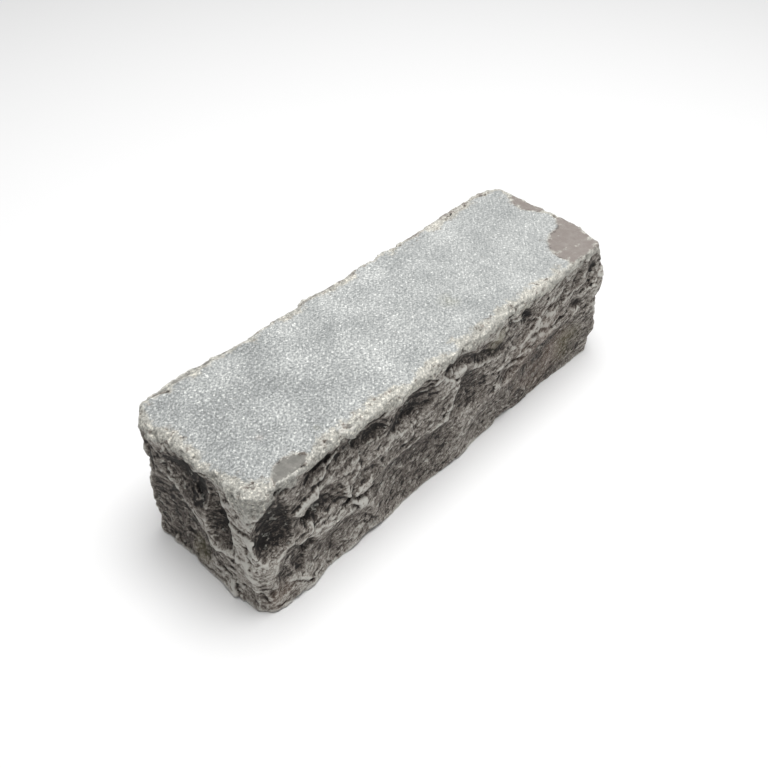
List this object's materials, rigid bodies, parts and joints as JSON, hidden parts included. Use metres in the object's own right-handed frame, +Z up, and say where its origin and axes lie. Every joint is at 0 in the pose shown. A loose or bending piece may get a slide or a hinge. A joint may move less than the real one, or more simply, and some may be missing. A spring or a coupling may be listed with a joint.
{
  "type": "whetstone",
  "caption": "Hewn block of natural stone with a flat dressed working face for sharpening edge tools; the other sides are left rough from the hammer.",
  "frame": {"origin": "centre of the underside, on the surface that the block rests on", "axes": "+X runs along the block's length, +Y across its width, +Z up out of the working face"},
  "size_m": [0.21, 0.066, 0.063],
  "materials": {
    "stone": "fine-grained blue-grey stone: dressed and matt on the working face, rough-hewn and brown-grey on the sides, worn pale along the edges"
  },
  "bodies": {
    "root": {"stone_block": "stone"}
  },
  "joints": []
}
